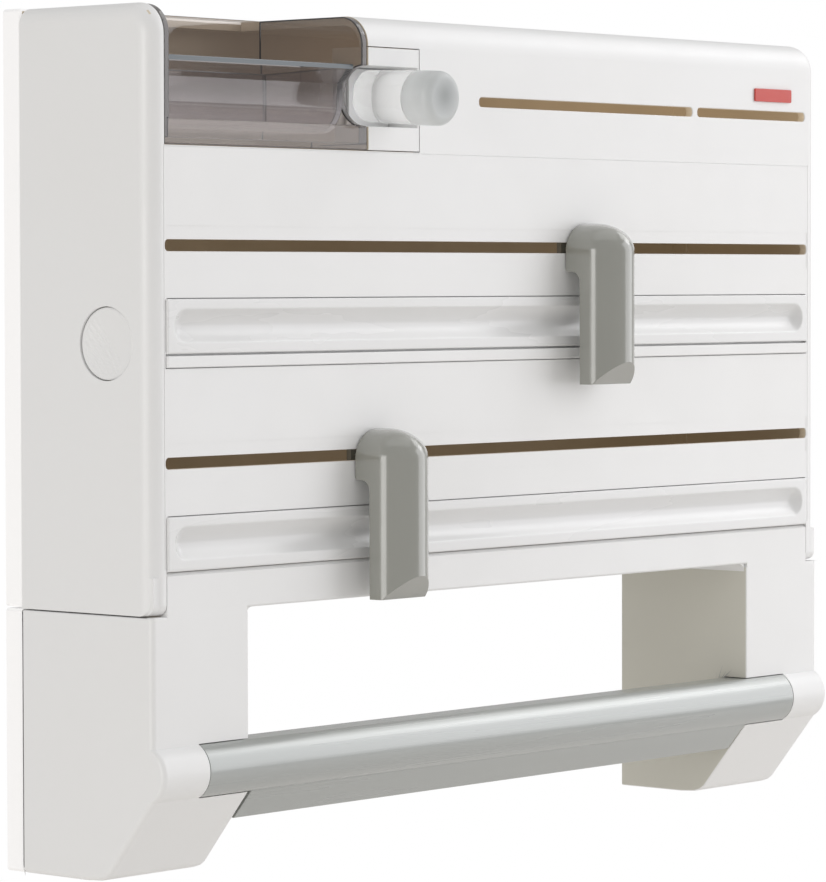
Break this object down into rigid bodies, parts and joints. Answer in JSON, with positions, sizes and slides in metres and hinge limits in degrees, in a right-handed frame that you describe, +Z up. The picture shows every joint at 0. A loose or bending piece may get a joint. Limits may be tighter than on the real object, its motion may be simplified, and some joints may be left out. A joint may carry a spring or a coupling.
{
  "type": "cling film dispenser",
  "caption": "Wall-mounted kitchen dispenser: film rolls behind a white slotted cover with grey cutters, a smoked tray and a roll bar.",
  "frame": {"origin": "centre of the wall face at the back of the frame", "axes": "+Y points into the wall, the front faces -Y, +Z is up, +X runs to the viewer's right along the front"},
  "size_m": [0.353, 0.089, 0.2758],
  "materials": {
    "white_plastic": "satin moulded white plastic",
    "gloss_white_plastic": "polished white plastic",
    "grey_plastic": "mid grey satin plastic",
    "silver_grey_plastic": "silver-grey plastic",
    "smoked_plastic": "clear smoked brown plastic",
    "clear_plastic": "clear plastic",
    "frosted_plastic": "frosted translucent plastic",
    "steel": "plain steel",
    "red_badge": "plain red printed plate"
  },
  "bodies": {
    "housing": {"upper_wall_frame": "white_plastic", "lower_wall_frame": "white_plastic", "upper_left_wall_screw": "steel", "upper_right_wall_screw": "steel", "lower_left_wall_screw": "steel", "lower_right_wall_screw": "steel", "upper_film_trough": "white_plastic", "lower_film_trough": "white_plastic", "bag_roll_trough": "white_plastic", "lower_bracket": "white_plastic", "left_hinge_pin": "steel", "right_hinge_pin": "steel", "accessory_box": "smoked_plastic", "catch_pocket": "white_plastic"},
    "cover": {"front_cover": "white_plastic", "upper_film_rail": "gloss_white_plastic", "lower_film_rail": "gloss_white_plastic", "film_lip_strip": "white_plastic", "blank_badge": "red_badge"},
    "upper_cutter": {"upper_cutter_handle": "grey_plastic", "upper_cutter_runner": "grey_plastic", "upper_cutter_blade": "steel"},
    "lower_cutter": {"lower_cutter_handle": "grey_plastic", "lower_cutter_runner": "grey_plastic", "lower_cutter_blade": "steel"},
    "left_button": {"left_release_button": "white_plastic", "left_button_spring": "steel"},
    "right_button": {"right_release_button": "white_plastic", "right_button_spring": "steel"},
    "tray": {"inner_tray": "smoked_plastic"},
    "catch": {"catch_plate": "white_plastic", "knob_shank": "clear_plastic", "knob_end": "frosted_plastic"},
    "bar": {"kitchen_roll_bar": "silver_grey_plastic", "left_bar_end_plug": "silver_grey_plastic", "right_bar_end_plug": "silver_grey_plastic"}
  },
  "joints": [
    {"name": "cover_hinge", "type": "hinge", "parent": "housing", "child": "cover", "pos_m": [0, -0.0635, -0.0495], "axis": [1, 0, 0], "range_deg": [0, 48]},
    {"name": "upper_cutter_slide", "type": "slide", "parent": "cover", "child": "upper_cutter", "axis": [1, 0, 0], "range_m": [-0.197, 0.12]},
    {"name": "lower_cutter_slide", "type": "slide", "parent": "cover", "child": "lower_cutter", "axis": [1, 0, 0], "range_m": [-0.0875, 0.2295]},
    {"name": "left_button_press", "type": "slide", "parent": "cover", "child": "left_button", "axis": [1, 0, 0], "range_m": [0, 0.0025], "stiffness_N_per_m": 400, "springref_m": -0.001},
    {"name": "right_button_press", "type": "slide", "parent": "cover", "child": "right_button", "axis": [-1, 0, 0], "range_m": [0, 0.0025], "stiffness_N_per_m": 400, "springref_m": -0.001},
    {"name": "tray_lift", "type": "slide", "parent": "housing", "child": "tray", "axis": [0, 0, 1], "range_m": [0, 0.045]},
    {"name": "catch_slide", "type": "slide", "parent": "housing", "child": "catch", "axis": [1, 0, 0], "range_m": [-0.002, 0.0008]},
    {"name": "bar_pull", "type": "slide", "parent": "housing", "child": "bar", "axis": [0, -1, 0], "range_m": [0, 0.04]}
  ]
}
